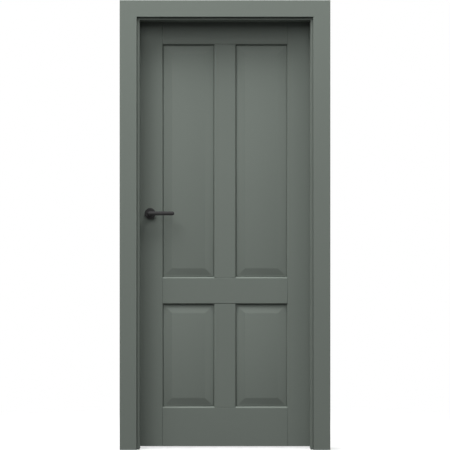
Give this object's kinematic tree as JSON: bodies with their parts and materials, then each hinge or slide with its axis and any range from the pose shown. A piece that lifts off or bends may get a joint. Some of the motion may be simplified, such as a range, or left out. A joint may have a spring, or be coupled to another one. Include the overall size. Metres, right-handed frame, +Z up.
{
  "type": "interior door",
  "caption": "Painted stile-and-rail interior door with raised panels, in a rebated frame with flat casings; round lever handle, latch lock and lift-off hinges",
  "frame": {"origin": "middle of the clear passage at floor level, in the middle plane of the wall", "axes": "+Z up, +X towards the hinges, +Y through the wall from the push side to the pull side"},
  "size_m": [0.992, 0.2065, 2.118],
  "materials": {
    "paint": "satin",
    "seal_rubber": "matte",
    "black_coating": "matte",
    "steel": "satin",
    "zinc_plate": "satin",
    "beech": "matte",
    "nylon": "matte"
  },
  "bodies": {
    "frame": {"jamb_latch_side": "paint", "jamb_hinge_side": "paint", "jamb_head": "paint", "push_casing_latch_side": "paint", "push_casing_hinge_side": "paint", "push_casing_head": "paint", "pull_casing_latch_side": "paint", "pull_casing_hinge_side": "paint", "pull_casing_head": "paint", "seal_latch_side": "seal_rubber", "seal_hinge_side": "seal_rubber", "seal_head": "seal_rubber", "corner_bracket_left": "zinc_plate", "corner_bracket_right": "zinc_plate", "bracket_screws": "zinc_plate", "strike_plate": "steel", "strike_screws": "steel", "hinge_frame_knuckle_top": "steel", "hinge_frame_knuckle_middle": "steel", "hinge_frame_knuckle_bottom": "steel", "hinge_pin_top": "zinc_plate", "hinge_pin_middle": "zinc_plate", "hinge_pin_bottom": "zinc_plate", "hinge_washers": "nylon"},
    "leaf": {"latch_stile": "paint", "hinge_stile": "paint", "top_rail": "paint", "lock_rail": "paint", "bottom_rail": "paint", "upper_mullion": "paint", "lower_mullion": "paint", "panel_upper_left": "paint", "panel_upper_right": "paint", "panel_lower_left": "paint", "panel_lower_right": "paint", "dowels": "beech", "lock_case": "zinc_plate", "lock_cover": "zinc_plate", "lock_forend": "steel", "forend_screws": "steel", "latch_spring": "steel", "hinge_leaf_knuckle_top": "steel", "hinge_leaf_knuckle_middle": "steel", "hinge_leaf_knuckle_bottom": "steel", "push_rose": "black_coating", "pull_rose": "black_coating", "push_rose_base": "zinc_plate", "pull_rose_base": "zinc_plate", "push_bush": "nylon", "pull_bush": "nylon", "rose_bolts": "steel"},
    "handle": {"push_lever": "black_coating", "pull_lever": "black_coating", "spindle": "steel", "follower": "zinc_plate", "lever_grub_screws": "steel"},
    "latch": {"latch_bolt": "steel"}
  },
  "joints": [
    {"name": "door_swing", "type": "hinge", "parent": "frame", "child": "leaf", "pos_m": [0.434, 0.0755, 1.02], "axis": [0, 0, -1], "range_deg": [0, 170]},
    {"name": "handle_turn", "type": "hinge", "parent": "leaf", "child": "handle", "pos_m": [-0.356, 0.063, 1.114], "axis": [0, 1, 0], "range_deg": [0, 40], "stiffness_Nm_per_rad": 1.5, "springref_deg": -28.65},
    {"name": "latch_slide", "type": "slide", "parent": "leaf", "child": "latch", "axis": [1, 0, 0], "range_m": [0, 0.012], "deforming": ["latch_spring"]}
  ],
  "couplings": [
    {"joint": "latch_slide", "follows": "handle_turn", "m_per_rad": 0.017188}
  ]
}
